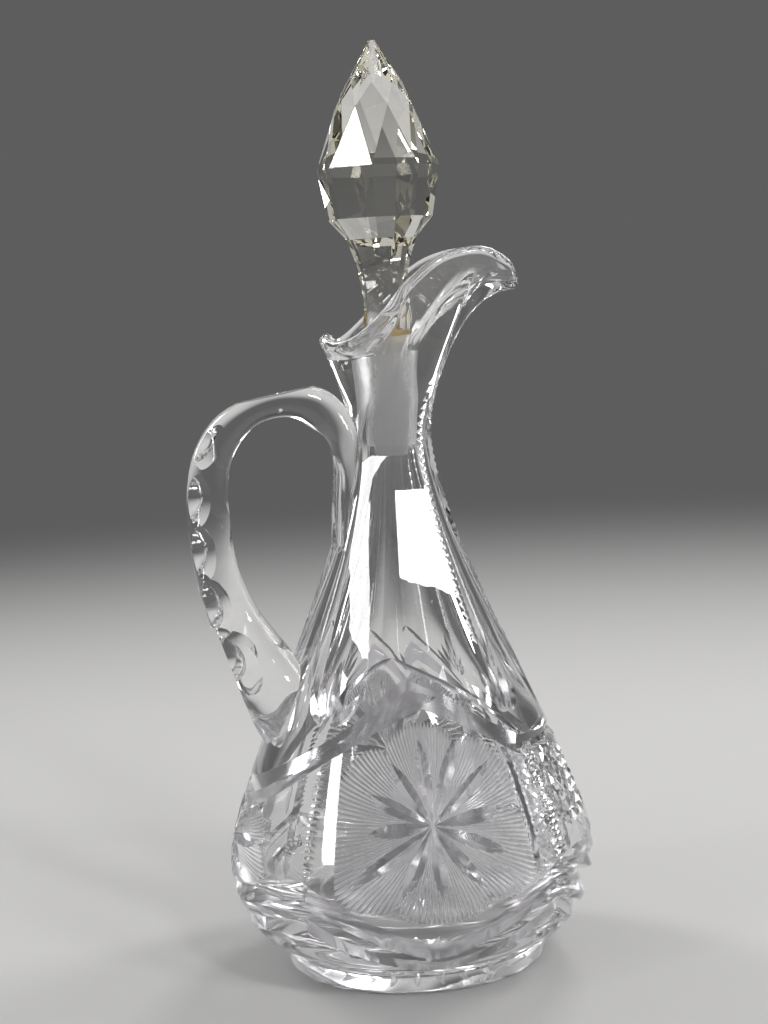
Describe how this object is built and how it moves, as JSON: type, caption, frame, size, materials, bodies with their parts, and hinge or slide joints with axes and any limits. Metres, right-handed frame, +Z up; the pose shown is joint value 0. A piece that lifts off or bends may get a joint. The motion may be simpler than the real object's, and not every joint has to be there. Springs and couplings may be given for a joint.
{
  "type": "cut glass cruet",
  "caption": "Pear-shaped cut-glass cruet with a pulled-up pouring lip, an applied loop handle, an applied foot and a faceted stopper on a ground taper plug.",
  "frame": {"origin": "centre of the foot's flat underside, on the axis of the body", "axes": "+Z up along the axis of the body and the stopper, +X towards the pouring spout, the handle towards -X"},
  "size_m": [0.1025, 0.0966, 0.2399],
  "materials": {
    "crystal": "polished clear lead crystal with a faint lilac-grey cast, matt in the ground bore and the fine fan cuts",
    "stopper_crystal": "polished clear crystal with a faint straw cast, ground matt on the taper plug"
  },
  "bodies": {
    "vessel": {"body": "crystal", "foot": "crystal", "handle": "crystal"},
    "stopper": {"stopper": "stopper_crystal"}
  },
  "joints": [
    {"name": "stopper_lift", "type": "slide", "parent": "vessel", "child": "stopper", "axis": [0, 0, 1], "range_m": [0, 0.06]}
  ]
}
